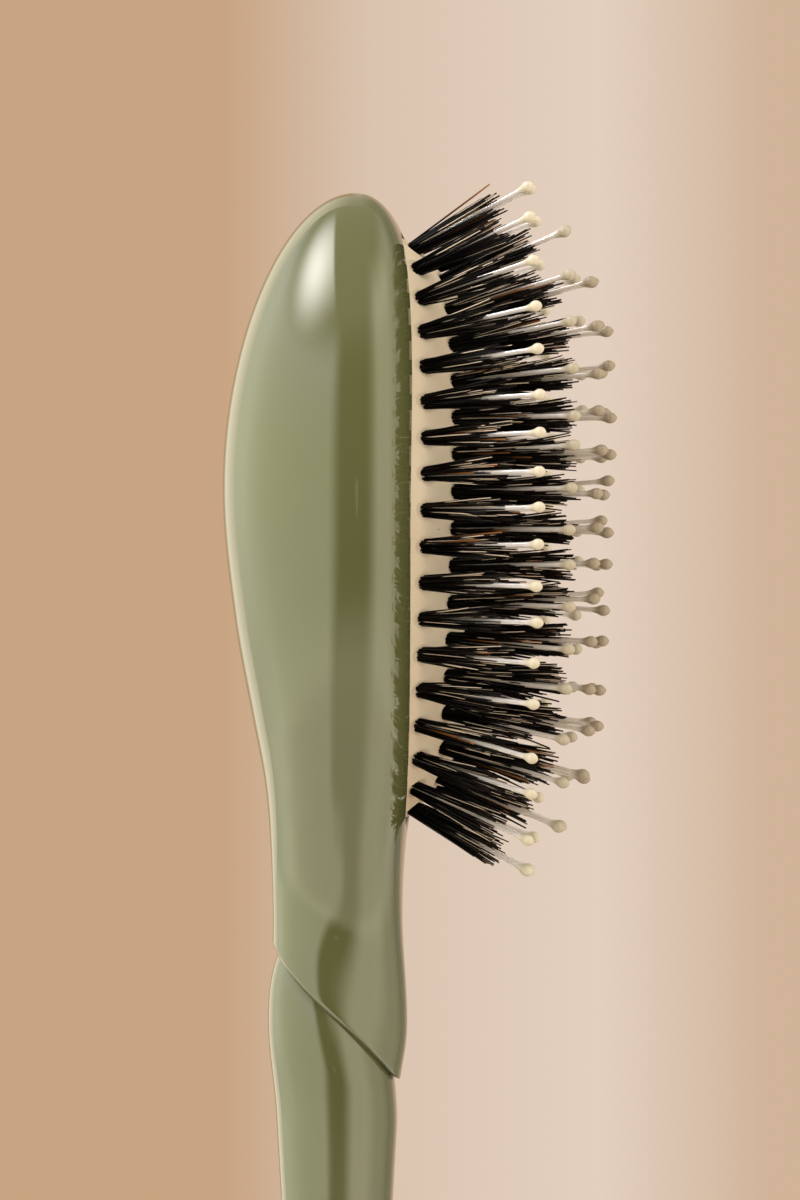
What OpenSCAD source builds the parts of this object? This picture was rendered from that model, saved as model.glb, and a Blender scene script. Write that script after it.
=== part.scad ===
// Detangling brush: a one-piece glossy handle and head, an air-filled rubber cushion snapped
// into the head, and rings of boar tufts that each stand round one ball-tipped nylon pin.
// Frame: +Z runs up the handle to the nose, +X is the way the bristles point, and the origin
// is the centre of the grip on the handle's axis.

/* [Body lengths] */
// Height of the nose above the grip centre
nose_h = 170; // [165:1:180]
// Depth of the butt below the grip centre
butt_d = 55; // [45:1:75]
// Height of the head's deepest and widest level
head_h = 126; // [122:1:130]
// Height of the neck's narrowest level
neck_h = 66; // [62:1:70]
// Height of the swell under the neck
swell_h = 51; // [48:1:54]
// Height of the grip's lower end, where it starts to thin
grip_h = 40; // [34:1:44]
// Height of the slimmest level of the handle
waist_h = 4; // [-6:1:14]
// Depth of the butt's fullest level below the grip centre
tail_d = 38; // [30:1:42]

/* [Body widths and depths] */
// Head width, side to side
head_w = 51; // [49:0.5:56]
// Depth of the head behind the handle's axis
head_back = 16.4; // [14:0.2:19]
// Depth of the head in front of the handle's axis
head_front = 12.4; // [12:0.1:13.4]
// Distance of the head's widest line in front of the handle's axis
head_mid = 2.5; // [1:0.1:3.5]
// Neck width
neck_w = 22; // [18:0.5:26]
// Neck depth
neck_t = 18.5; // [15:0.5:20]
// Width of the swell under the neck
swell_w = 25; // [21:0.5:29]
// Depth of the swell under the neck
swell_t = 19.9; // [17:0.1:22]
// Grip width at its lower end
grip_w = 25; // [21:0.5:29]
// Grip depth at its lower end
grip_t = 17.6; // [15:0.1:20]
// Handle width at its slimmest
waist_w = 22; // [18:0.5:25]
// Handle depth at its slimmest
waist_t = 14.6; // [12:0.1:17]
// Butt width
tail_w = 27; // [22:0.5:32]
// Butt depth
tail_t = 18.4; // [15:0.1:22]

/* [Crease] */
// Height of the sculpted crease on the handle's axis
crease_h = 52.3; // [50:0.1:54]
// Depth of the crease
crease_d = 0.8; // [0.4:0.1:1.2]
// Height over which the surface falls into the crease from above
crease_above = 1; // [0.8:0.1:2]
// Height over which the surface comes back below the crease
crease_below = 8; // [5:0.5:10]
// Rise of the crease from the front of the handle to the back
crease_rise = 22.4; // [14:0.5:24]

/* [Cushion] */
// Height of the cushion's centre above the grip centre
pad_h = 122; // [121:0.1:123]
// Cushion length
pad_l = 84.2; // [80:0.2:85]
// Cushion width
pad_w = 37; // [35:0.5:38]
// Distance of the cushion's seat in front of the handle's axis
seat_x = 7.9; // [7.4:0.1:8.3]
// Height of the crown above the seat
crown_h = 12.1; // [9:0.1:13]
// Thickness of the rubber
rubber_t = 1.3; // [1:0.1:1.6]
// Thickness of the bead round the cushion's edge
bead_t = 1.6; // [1.2:0.1:2]
// How far the bead stands out into its groove
bead_out = 1; // [0.6:0.1:1.4]
// Gap between the rubber and the head round it
seat_gap = 0.1; // [0.05:0.01:0.15]
// Width of the rounded lip round the opening in the head
lip_w = 0.5; // [0.2:0.1:0.6]
// Depth of the air chamber under the seat
chamber_d = 9; // [7:0.5:10]
// Diameter of the vent in the rubber
vent_dia = 1.4; // [0.8:0.1:1.8]
// Distance of the vent to the side of the cushion's centre
vent_y = 2.6; // [2.4:0.1:2.8]

/* [Tufts] */
// Length of a tuft above the rubber
tuft_l = 14; // [11:0.5:16]
// Size of a tuft at its root, along its ring and across it
tuft_w = 2.2; // [1.9:0.1:2.5]
// Thickness of the slice of backing that a ring of tufts is fused to
slice_t = 0.45; // [0.35:0.05:0.6]
// Gap between a slice of backing and the rubber under it
slice_gap = 0.35; // [0.3:0.05:0.5]
// Lean of the end tufts, in degrees
end_lean = 29; // [20:1:32]
// Lean of the side tufts, in degrees
side_lean = 30; // [15:1:34]
// Distance of the outer ring from the cushion's ends
ring_end = 1.8; // [1.6:0.1:3]
// Distance of the outer ring from the cushion's sides
ring_side = 3.5; // [3:0.1:4]
// Step from one ring to the next along the cushion
ring_step_l = 4.2; // [4:0.1:4.8]
// Step from one ring to the next across the cushion
ring_step_w = 5; // [4.8:0.05:5]
// Step from one tuft to the next along a ring
tuft_step = 5.15; // [5:0.05:6]

/* [Pins] */
// Length of a pin above the rubber, ball included
pin_l = 19.6; // [17:0.2:22]
// Diameter of a pin's shaft
pin_dia = 0.75; // [0.6:0.05:0.85]
// Diameter of a pin's ball tip
ball_dia = 1.7; // [1.4:0.1:2.4]
// Length of the ball's round end beyond its widest line
ball_end = 1; // [0.7:0.1:1.2]
// Length of the taper from the shaft to the ball
ball_neck = 1.6; // [1:0.1:2.4]

/* [Anchors] */
// Diameter of an anchor's wire
wire_dia = 0.6; // [0.4:0.05:0.7]
// Length of an anchor
anchor_l = 2.6; // [2:0.1:3]
// Gap between an anchor and the rubber above it
anchor_gap = 0.3; // [0.2:0.05:0.4]

/* [Hidden] */

acetate_green = [0.57, 0.60, 0.46];
rubber_cream = [0.89, 0.80, 0.68];
boar_black = [0.08, 0.07, 0.06];
nylon_ivory = [0.88, 0.84, 0.74];
wire_grey = [0.72, 0.72, 0.70];

// Mesh counts: points round each form, and slices along each stretch of the body
body_sides = 48;
pad_sides = 48;
vent_sides = 24;
pin_sides = 20;
wire_sides = 16;
nose_slices = 14;
head_slices = 14;
swell_slices = 5;
crease_slices = 4;
grip_slices = 12;
butt_slices = 8;
dome_slices = 9;

// Overrun of a cut past the face that it opens
over = 1;

// Exponents of the section outlines: the rim is nearly square, the back is round
rim_power = 3.5;
back_power = 2.2;
handle_power = 2.3;
// Share of the way from the neck to the head over which the front turns flat
front_flat_share = 0.4;
// Exponents of the nose's outline: how late it closes and how round it ends, in front and beside
nose_front_power = 3.8;
nose_front_end = 2.2;
nose_side_power = 2.4;
nose_side_end = 2;
// Exponent of the nose's outline behind
nose_back_power = 1.93;
// Exponent of the cushion's oval outline
oval_power = 2.2;
// Exponents of the dome's profile: how round its crown is, and how it rises from its edge
dome_round = 2;
dome_rise = 0.75;
// Share of its height that the dome loses towards the ends of the cushion
dome_bow_share = 0.12;
// Share of its height that the dome gains above its middle and loses below it
dome_tilt_share = 0.15;
// Angle at which the dome's mesh stops short of the middle line, in degrees
dome_end = 87;
// Exponents of the lean along the cushion, and of how the lean across it levels off
lean_power = 2.5;
side_lean_power = 1.7;
// Rings that run round as ovals, inside of which the last one is a straight row
oval_rings = 3;
// Tufts in the straight row, and points along an oval's centre line
row_tufts = 11;
line_points = 180;

// Rows between the neck and the head: shares of the rise, the back, the front and the width
shoulder_shares = [
    [0.193, 0.05, 0.15, 0.25],
    [0.333, 0.16, 0.56, 0.52],
    [0.483, 0.4, 0.83, 0.78],
    [0.717, 0.76, 0.99, 0.95]
];
// Share of the way from the crease to the head over which the slices lose their tilt
tilt_share = 0.5;
// How strongly the slices crowd towards the crease
crowding = 1.5;
// Share of the crease's rise that bends off at the surface, past the straight slope
crease_bend_share = 0.22;

function clamp(v) = min(max(v, 0), 1);
function ease(v) = let(c = clamp(v)) c * c * (3 - 2 * c);
function mix(a, b, share) = a + (b - a) * share;
function root(v, power) = v <= 0 ? 0 : pow(v, 1 / power);

// Cubic curve through knots, each a list that starts with its height
function slope(knots, i, n) =
    let(a = max(i - 1, 0), b = min(i + 1, len(knots) - 1))
    (knots[b][n] - knots[a][n]) / (knots[b][0] - knots[a][0]);
function segment(knots, z, i = 0) =
    i >= len(knots) - 2 || z < knots[i + 1][0] ? i : segment(knots, z, i + 1);
function along(knots, z, n) =
    let(i = segment(knots, z), h = knots[i + 1][0] - knots[i][0], s = clamp((z - knots[i][0]) / h))
    (1 + 2 * s) * pow(1 - s, 2) * knots[i][n] + s * pow(1 - s, 2) * h * slope(knots, i, n)
    + s * s * (3 - 2 * s) * knots[i + 1][n] - s * s * (1 - s) * h * slope(knots, i + 1, n);

// Height, depth behind the axis, depth in front of it and half width, from the butt up
body_knots = concat(
    [
        [-tail_d, tail_t / 2, tail_t / 2, tail_w / 2],
        [waist_h, waist_t / 2, waist_t / 2, waist_w / 2],
        [grip_h, grip_t / 2, grip_t / 2, grip_w / 2],
        [swell_h, swell_t / 2, swell_t / 2, swell_w / 2],
        [neck_h, neck_t / 2, neck_t / 2, neck_w / 2]
    ],
    [for (s = shoulder_shares) [
        mix(neck_h, head_h, s[0]), mix(neck_t / 2, head_back, s[1]),
        mix(neck_t / 2, head_front, s[2]), mix(neck_w / 2, head_w / 2, s[3])
    ]],
    [[head_h, head_back, head_front, head_w / 2], [nose_h, head_back, head_front, head_w / 2]]
);

// How far a tilted slice stands above its own height at depth x in front of the axis
function crease_offset(x) =
    let(s = x / (swell_t / 2))
    -crease_rise / 2 * (s * (1 - crease_bend_share) + s * s * s * crease_bend_share);
// Tilt of the slice at height z: full at the crease, none at the head and the slim handle
function tilt(z) = z > crease_h ? 1 - ease((z - crease_h) / (head_h - crease_h) / tilt_share)
    : 1 - ease((crease_h - z) / (crease_h - waist_h));
// Depth of the crease's valley under a smooth surface
function valley(z) =
    let(s = z > crease_h ? (z - crease_h) / crease_above : (crease_h - z) / crease_below)
    crease_d * pow(1 - clamp(s), 2);
// Rounding of the nose and of the butt, as shares of the depth behind, in front and the width
function nose_share(z) = clamp((z - head_h) / (nose_h - head_h));
function butt_share(z) = clamp((-tail_d - z) / (butt_d - tail_d));
function back_round(z) =
    root(1 - pow(nose_share(z), nose_back_power), nose_back_power) * sqrt(1 - pow(butt_share(z), 2));
function front_round(z) =
    root(1 - pow(nose_share(z), nose_front_power), nose_front_end) * sqrt(1 - pow(butt_share(z), 2));
function side_round(z) =
    root(1 - pow(nose_share(z), nose_side_power), nose_side_end) * sqrt(1 - pow(butt_share(z), 2));

// How much of the head's shape the body has at a height, and how flat its front is there
function in_head(z) = ease((z - neck_h) / (head_h - neck_h));
function mid_x(z) = head_mid * in_head(z);
function back_side_power(z) = mix(handle_power, back_power, in_head(z));
function front_side_power(z) =
    mix(handle_power, rim_power, ease((z - neck_h) / (head_h - neck_h) / front_flat_share));
// Depths of the slice at height z behind and in front of its widest line, and its half width
function back_reach(z) =
    (along(body_knots, z + tilt(z) * crease_offset(-swell_t / 2), 1) + mid_x(z)) * back_round(z)
    - valley(z);
function front_reach(z) =
    (along(body_knots, z + tilt(z) * crease_offset(swell_t / 2), 2) - mid_x(z)) * front_round(z)
    - valley(z);
function half_width(z) = along(body_knots, z, 3) * side_round(z) - valley(z);

// One slice of the body: a closed outline, rounded by its powers, on a tilted surface
function body_slice(z) =
    let(
        mid = mid_x(z), f = front_reach(z), b = back_reach(z), w = half_width(z),
        p_front = front_side_power(z), p_back = back_side_power(z)
    )
    [for (i = [0:body_sides - 1])
        let(
            a = 360 * i / body_sides, p = cos(a) > 0 ? p_front : p_back,
            x = mid + (cos(a) > 0 ? f : b) * sign(cos(a)) * root(abs(cos(a)), p / 2),
            y = w * sign(sin(a)) * root(abs(sin(a)), p / 2)
        )
        [x, y, z + tilt(z) * crease_offset(x)]];

// Heights of the slices, from the butt up to the nose
function steps(from, to, n, power = 1) =
    [for (i = [0:n - 1]) mix(from, to, pow(i / n, power))];
slice_heights = concat(
    [for (i = [butt_slices - 1:-1:1]) mix(-tail_d, -butt_d, sin(90 * i / butt_slices))],
    steps(-tail_d, crease_h - crease_below, grip_slices),
    [for (i = [crease_slices:-1:1])
        mix(crease_h, crease_h - crease_below, pow(i / crease_slices, crowding))],
    steps(crease_h, crease_h + crease_above, crease_slices, crowding),
    steps(crease_h + crease_above, neck_h + crease_above, swell_slices),
    steps(neck_h + crease_above, head_h, head_slices),
    [for (i = [0:nose_slices - 1]) mix(head_h, nose_h, sin(90 * i / nose_slices))]
);

// Triangles between two rings of n points, the upper one going on from the lower one
function band_faces(low, high, n) =
    [for (i = [0:n - 1]) let(j = (i + 1) % n) each [
        [low + i, high + i, high + j], [low + i, high + j, low + j]
    ]];

module body_shell() {
    n = body_sides;
    m = len(slice_heights);
    points = concat(
        [for (z = slice_heights) each body_slice(z)],
        [[0, 0, -butt_d], [head_mid, 0, nose_h]]
    );
    polyhedron(points, concat(
        [for (k = [0:m - 2]) each band_faces(k * n, (k + 1) * n, n)],
        [for (i = [0:n - 1]) [m * n, i, (i + 1) % n]],
        [for (i = [0:n - 1]) [m * n + 1, (m - 1) * n + (i + 1) % n, (m - 1) * n + i]]
    ));
}

// Outline of the cushion, moved in by an inset, in side and height from the cushion's centre
function oval_point(a, half_l, half_w) = [
    half_w * sign(sin(a)) * root(abs(sin(a)), oval_power / 2),
    half_l * sign(cos(a)) * root(abs(cos(a)), oval_power / 2)
];
function pad_oval(inset) = [for (i = [0:pad_sides - 1])
    oval_point(360 * i / pad_sides, pad_l / 2 - inset, pad_w / 2 - inset)];

// Upright prism of an outline in side and height, from one depth to another
module slab(outline, from_x, to_x) {
    translate([from_x, 0, pad_h]) rotate([90, 0, 90])
        linear_extrude(to_x - from_x) polygon(outline);
}

// Depth of the head's front face in front of the axis, at a side and a height from the cushion
function rim_x(p) =
    let(z = pad_h + p[1], power = front_side_power(z))
    mid_x(z) + front_reach(z) * root(1 - pow(abs(p[0]) / half_width(z), power), power);

// Cutter that slopes the lip of the opening: it widens outwards and follows the bowed face
module lip_cutter() {
    n = pad_sides;
    lip = pad_oval(-seat_gap);
    low = pad_oval(0);
    high = pad_oval(-seat_gap - lip_w - over);
    points = concat(
        [for (i = [0:n - 1]) [rim_x(lip[i]) - lip_w - seat_gap, -low[i][0], pad_h + low[i][1]]],
        [for (i = [0:n - 1]) [rim_x(lip[i]) + over, -high[i][0], pad_h + high[i][1]]],
        [[seat_x, 0, pad_h], [head_front + over + lip_w, 0, pad_h]]
    );
    polyhedron(points, concat(
        band_faces(0, n, n),
        [for (i = [0:n - 1]) [2 * n, i, (i + 1) % n]],
        [for (i = [0:n - 1]) [2 * n + 1, n + (i + 1) % n, n + i]]
    ));
}

module handle_body() {
    color(acetate_green) difference() {
        body_shell();
        slab(pad_oval(-seat_gap), seat_x - bead_t - chamber_d, head_front + over);
        slab(pad_oval(-bead_out - seat_gap), seat_x - bead_t - seat_gap, seat_x + seat_gap);
        lip_cutter();
    }
}

// Height of the rubber above the seat, as a share of the crown, at an angle that runs from 0 at
// the edge to 90 degrees at the middle line, and the inset of that point
function dome_share(a) = pow(1 - pow(cos(a), dome_round), dome_rise);
function dome_inset(a, half_w) = half_w * (1 - cos(a));
// Depth of a point of the dome in front of the axis, once the dome bows down towards its ends and
// fills out above its middle
function bowed(x, z) =
    let(s = z / (pad_l / 2), gain = dome_tilt_share * s * (1 - s * s) - dome_bow_share * s * s)
    x <= seat_x ? x : seat_x + (x - seat_x) * (1 + gain);

// The rubber lies lower than the tufts' feet by a slice of backing and its gap
foot_drop = slice_t + slice_gap;
dome_start = acos(pow(1 - pow(foot_drop / crown_h, 1 / dome_rise), 1 / dome_round));

// One ring of the cushion's mesh: an oval at a depth in front of the handle's axis
function pad_ring(inset, x) =
    [for (p = pad_oval(inset)) [bowed(x, p[1]), -p[0], pad_h + p[1]]];

module cushion_shell() {
    n = pad_sides;
    outer = [for (k = [0:dome_slices])
        let(a = mix(dome_start, dome_end, k / dome_slices))
        [dome_inset(a, pad_w / 2), seat_x + crown_h * dome_share(a) - foot_drop]];
    inner = [for (k = [dome_slices:-1:0])
        let(a = mix(0, dome_end, k / dome_slices))
        [rubber_t + dome_inset(a, pad_w / 2 - rubber_t),
         seat_x + (crown_h - foot_drop - rubber_t) * dome_share(a)]];
    edge = [
        [rubber_t, seat_x - bead_t], [-bead_out, seat_x - bead_t], [-bead_out, seat_x], [0, seat_x]
    ];
    // Rings in order from the inside of the crown, down round the bead and up to the crown
    rings = concat(inner, edge, outer);
    m = len(rings);
    // Closing strip across the middle of the first and of the last ring
    function strip(at, flip) = [for (i = [0:n / 2 - 1])
        let(a = at + i, b = at + i + 1, c = at + n - i - 1, d = at + (n - i) % n)
        each flip ? [[a, c, b], [a, d, c]] : [[a, b, c], [a, c, d]]];
    function true_faces(faces) =
        [for (f = faces) if (f[0] != f[1] && f[1] != f[2] && f[0] != f[2]) f];
    polyhedron(
        [for (r = rings) each pad_ring(r[0], r[1])],
        concat(
            [for (k = [0:m - 2]) each band_faces(k * n, (k + 1) * n, n)],
            true_faces(strip(0, false)), true_faces(strip((m - 1) * n, true))
        )
    );
}

module cushion() {
    color(rubber_cream) difference() {
        cushion_shell();
        translate([seat_x, vent_y, pad_h]) rotate([0, 90, 0])
            cylinder(h = crown_h + over, d = vent_dia, $fn = vent_sides);
    }
}

// Inset of the dome's level line through a point, found by halving
function level_inset(y, z, low = 0, high = pad_w / 2, halvings = 18) =
    halvings == 0 ? low
    : let(
        s = (low + high) / 2,
        n = pow(abs(y) / (pad_w / 2 - s), oval_power) + pow(abs(z) / (pad_l / 2 - s), oval_power)
    )
    n > 1 ? level_inset(y, z, low, s, halvings - 1) : level_inset(y, z, s, high, halvings - 1);
// Depth of the tufts' feet in front of the axis at a side and height from the cushion's centre
function foot_x(y, z) =
    let(t = level_inset(y, z) / (pad_w / 2))
    bowed(seat_x + crown_h * pow(1 - pow(1 - t, dome_round), dome_rise), z);
function foot(p) = [foot_x(p[0], p[1]), p[0], pad_h + p[1]];

// Way that a tuft and its pin point, from the tuft's side and height
function lean(p) =
    let(
        aside = clamp(abs(p[0]) / (pad_w / 2 - ring_side)),
        d = [
            1, sign(p[0]) * tan(side_lean) * (1 - pow(1 - aside, side_lean_power)),
            sign(p[1]) * tan(end_lean) * pow(abs(p[1]) / (pad_l / 2 - ring_end), lean_power)
        ]
    )
    d / norm(d);

// Centre lines of the rings: ovals, and a straight row inside them
function ring_half_l(k) = pad_l / 2 - ring_end - ring_step_l * (k - 1);
function ring_half_w(k) = pad_w / 2 - ring_side - ring_step_w * (k - 1);
function running(points) = [for (i = 0, s = 0; i < len(points);
    s = s + norm(points[min(i + 1, len(points) - 1)] - points[i]), i = i + 1) s];
ring_lines = [for (k = [1:oval_rings])
    [for (i = [0:line_points]) oval_point(360 * i / line_points, ring_half_l(k), ring_half_w(k))]];
ring_runs = [for (line = ring_lines) running(line)];
ring_y = [for (k = [0:oval_rings - 1])
    [for (i = [0:line_points]) [ring_runs[k][i], ring_lines[k][i][0]]]];
ring_z = [for (k = [0:oval_rings - 1])
    [for (i = [0:line_points]) [ring_runs[k][i], ring_lines[k][i][1]]]];
function is_oval(k) = k <= oval_rings;
function ring_length(k) = is_oval(k) ? ring_runs[k - 1][line_points] : row_tufts * tuft_step;
function ring_tufts(k) = is_oval(k) ? 2 * round(ring_length(k) / tuft_step / 2) : row_tufts;
// Point on a ring's centre line at a run along it
function wrap(s, length) = s - length * floor(s / length);
function on_ring(k, s) =
    !is_oval(k) ? [0, s - ring_length(k) / 2]
    : let(r = wrap(s, ring_length(k))) [lookup(r, ring_y[k - 1]), lookup(r, ring_z[k - 1])];
// Direction of a ring's centre line at a run along it, over a tuft's width
function ring_way(k, s) =
    let(d = on_ring(k, s + tuft_w / 2) - on_ring(k, s - tuft_w / 2)) d / norm(d);
function tuft_run(k, j) = (j + 0.5) * ring_length(k) / ring_tufts(k);
// Point beside a ring's centre line, at a run along it and an offset out of the ring
function beside(k, s, v) = let(w = ring_way(k, s)) on_ring(k, s) + v * [-w[1], w[0]];

// Strands of one tuft, as the stretch along the ring and the cell across it that each stands on,
// and the bounds of those stretches and cells as shares of the tuft's width
strands = [[0, 1], [2, 0], [2, 2]];
run_shares = [-0.5, -0.23, 0.07, 0.43];
across_shares = [-0.52, -0.2, 0.2, 0.52];
// Spread of the strands at the tips, as a multiple of their spread at the root
tip_spread_share = 2.2;
// Shortening of the strands at the tips, so that they end unevenly
tip_shares = [0, 0.1, 0.04, 0.13, 0.07];
// Half length of a strand's wedge tip, as a share of the tuft's width
ridge_share = 0.1;

// One ring of tufts: a closed slice of backing whose upper cells rise as strands. The slice is a
// row of cross-lines, each with its top points and two below, and the last point closes its caps.
module tuft_ring(k) {
    n = ring_tufts(k);
    u = tuft_w * run_shares;
    v = tuft_w * across_shares;
    per_tuft = len(u);
    tops = len(v);
    around = tops + 2;
    lines = per_tuft * n;
    closed = is_oval(k);
    thick = [slice_t, 0, 0];
    slices = [for (j = [0:n - 1], i = [0:per_tuft - 1])
        let(s = tuft_run(k, j) + u[i], top = [for (c = v) foot(beside(k, s, c))])
        each concat(top, [top[tops - 1] - thick, top[0] - thick])];
    tips = [for (j = [0:n - 1], c = strands)
        let(
            at = tuft_run(k, j), way = ring_way(k, at), out = [-way[1], way[0]],
            mid_u = (u[c[0]] + u[c[0] + 1]) / 2, mid_v = (v[c[1]] + v[c[1] + 1]) / 2,
            shortening = tip_shares[(3 * j + c[0] + c[1]) % len(tip_shares)],
            p = on_ring(k, at), top = foot(p) + lean(p) * tuft_l * (1 - shortening),
            side = tip_spread_share * (mid_u * way + mid_v * out), ridge = ridge_share * tuft_w * out
        )
        each [for (e = [side - ridge, side + ridge]) top + [0, e[0], e[1]]]];
    first_tip = len(slices);
    function is_strand(i, c) = len([for (t = strands) if (t[0] == i && t[1] == c) t]) > 0;
    skin = [for (l = [0:lines - (closed ? 1 : 2)], c = [0:around - 1])
        if (!is_strand(l % per_tuft, c))
            let(
                here = l * around, next = (l + 1) % lines * around, c_next = (c + 1) % around,
                a = here + c, b = here + c_next, d = next + c, e = next + c_next
            )
            each [[a, b, e], [a, e, d]]];
    hairs = [for (j = [0:n - 1], q = [0:len(strands) - 1])
        let(
            a = (per_tuft * j + strands[q][0]) * around + strands[q][1],
            b = a + 1, d = a + around, e = b + around,
            low = first_tip + 2 * (len(strands) * j + q), high = low + 1
        )
        each [[a, b, high], [a, high, low], [b, e, high], [e, d, low], [e, low, high], [d, a, low]]];
    final = (lines - 1) * around;
    corner = around - 1;
    caps = closed ? [] : [for (c = [0:tops - 1])
        each [[corner, (c + 1) % corner, c], [final + corner, final + c, final + c + 1]]];
    color(boar_black) polyhedron(concat(slices, tips), concat(skin, hairs, caps));
}

// Turns a child that stands along +Z to a direction
module aim(d) {
    rotate([0, acos(d[2]), atan2(d[1], d[0])]) children();
}

// A pin along +Z with its root in the slice: a shaft that tapers out to a ball tip, whose arc runs
// from below its widest line to near the top
ball_arc = [-30, 20, 70];
module pin_shape() {
    ball = ball_dia / 2;
    shaft = pin_dia / 2;
    rotate_extrude($fn = pin_sides) polygon(concat(
        [[0, -slice_t / 2], [shaft, -slice_t / 2], [shaft, pin_l - 2 * ball_end - ball_neck]],
        [for (a = [ball_arc[0]:ball_arc[1]:ball_arc[2]])
            [ball * cos(a), pin_l - ball_end + ball_end * sin(a)]],
        [[0, pin_l]]
    ));
}

module pin_ring(k) {
    color(nylon_ivory) for (j = [0:ring_tufts(k) - 1]) {
        p = on_ring(k, tuft_run(k, j));
        translate(foot(p)) aim(lean(p)) pin_shape();
    }
}

// Distance from a tuft's foot down its own line to its anchor's wire
anchor_depth = foot_drop + rubber_t + anchor_gap + wire_dia / 2;

module anchor_ring(k) {
    color(wire_grey) for (j = [0:ring_tufts(k) - 1]) {
        s = tuft_run(k, j);
        p = on_ring(k, s);
        w = ring_way(k, s);
        translate(foot(p) - anchor_depth * lean(p)) aim([0, w[0], w[1]])
            cylinder(h = anchor_l, d = wire_dia, center = true, $fn = wire_sides);
    }
}

handle_body();
cushion();
tuft_ring(1);  // tuft_ring_1
tuft_ring(2);  // tuft_ring_2
tuft_ring(3);  // tuft_ring_3
tuft_ring(4);  // tuft_ring_4
pin_ring(1);  // pin_ring_1
pin_ring(2);  // pin_ring_2
pin_ring(3);  // pin_ring_3
pin_ring(4);  // pin_ring_4
anchor_ring(1);  // anchor_ring_1
anchor_ring(2);  // anchor_ring_2
anchor_ring(3);  // anchor_ring_3
anchor_ring(4);  // anchor_ring_4
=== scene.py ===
import math
import random

import bpy
import numpy as np
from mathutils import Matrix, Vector, kdtree


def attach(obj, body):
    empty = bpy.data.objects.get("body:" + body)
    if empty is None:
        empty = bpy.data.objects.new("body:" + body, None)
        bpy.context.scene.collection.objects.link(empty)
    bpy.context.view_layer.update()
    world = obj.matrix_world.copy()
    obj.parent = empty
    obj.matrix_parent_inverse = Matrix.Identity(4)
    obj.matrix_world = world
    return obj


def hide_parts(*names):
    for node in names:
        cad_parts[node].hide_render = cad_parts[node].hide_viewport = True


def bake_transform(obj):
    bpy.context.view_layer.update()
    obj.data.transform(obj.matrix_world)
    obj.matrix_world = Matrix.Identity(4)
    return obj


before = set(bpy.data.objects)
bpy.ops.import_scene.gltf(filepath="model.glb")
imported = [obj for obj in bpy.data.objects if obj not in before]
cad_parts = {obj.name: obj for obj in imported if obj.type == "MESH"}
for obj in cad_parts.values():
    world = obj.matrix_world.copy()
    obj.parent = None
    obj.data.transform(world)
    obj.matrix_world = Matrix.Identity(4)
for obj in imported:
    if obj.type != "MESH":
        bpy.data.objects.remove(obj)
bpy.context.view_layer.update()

# Looks of a detangling brush: a smooth glossy body, a dimpled rubber cushion, fine boar tufts and
# ball-tipped nylon pins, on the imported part's own shapes. Lengths are in metres unless they say mm.
MM = 0.001
random.seed(7)

# Body, in mm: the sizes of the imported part
NOSE_H, BUTT_D, HEAD_H, NECK_H, SWELL_H, GRIP_H, WAIST_H, TAIL_D = 170, 55, 126, 66, 51, 40, 4, 38
HEAD_W, HEAD_BACK, HEAD_FRONT, HEAD_MID = 51, 16.4, 12.4, 2.5
NECK_W, NECK_T, SWELL_W, SWELL_T, GRIP_W, GRIP_T = 22, 18.5, 25, 19.9, 25, 17.6
WAIST_W, WAIST_T, TAIL_W, TAIL_T = 22, 14.6, 27, 18.4
CREASE_H, CREASE_D, CREASE_ABOVE, CREASE_BELOW, CREASE_RISE = 52.3, 0.8, 1, 8, 22.4
CREASE_BEND, TILT_SHARE = 0.22, 0.5
RIM_POWER, BACK_POWER, HANDLE_POWER, FLAT_SHARE = 3.5, 2.2, 2.3, 0.4
NOSE_FRONT_POWER, NOSE_FRONT_END, NOSE_SIDE_POWER, NOSE_SIDE_END = 3.8, 2.2, 2.4, 2
NOSE_BACK_POWER = 1.93
# Between neck and head: how far up, and how much of the growth behind, in front and in width
SHOULDER = [
    [0.193, 0.05, 0.15, 0.25],
    [0.333, 0.16, 0.56, 0.52],
    [0.483, 0.4, 0.83, 0.78],
    [0.717, 0.76, 0.99, 0.95],
]
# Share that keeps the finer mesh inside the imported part's outermost points
FIT = 0.998
BODY_SIDES = 224
# Edges steeper than these angles stay crisp, in degrees
BODY_EDGE_ANGLE, PAD_EDGE_ANGLE = 40, 50

# Cushion and its opening, in mm
PAD_H, PAD_L, PAD_W, SEAT_X, CROWN_H = 122, 84.2, 37, 7.9, 12.1
RUBBER_T, BEAD_T, BEAD_OUT, BEAD_CORNER, SEAT_GAP = 1.3, 1.6, 1, 0.2, 0.1
LIP_R, LIP_ARC, LIP_STEPS, CUT_FLARE, CUT_OVER = 0.5, math.radians(84), 12, 1.2, 3
# Round corner of the chamber's floor: how far in from the wall and up from the floor
CHAMBER_D, CHAMBER_CORNER = 9, [(1.5, 0), (0.4, 0.3), (0, 1.2)]
VENT_DIA, VENT_Y, VENT_SIDES, VENT_OVER = 1.4, 2.6, 32, 2
OVAL_POWER, DOME_ROUND, DOME_RISE, DOME_BOW, DOME_TILT = 2.2, 2, 0.75, 0.12, 0.15
# Points round the opening and the cushion, turns of the dome, and how near they come to its middle
OPENING_SIDES, PAD_SIDES, PAD_TURNS, PAD_COVER = 240, 560, 64, 0.985
# Raised ring round each tuft: its height, distance from the tuft and width
RAISED, RAISED_AT, RAISED_W = 0.16, 1.5, 0.35
# Dip inside it: its depth, and where and over what length it ends. Both fade out at the dome's edge
DIP, DIP_FROM, DIP_OVER, DIMPLES_FROM = 0.3, 0.95, 0.4, 0.8

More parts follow.
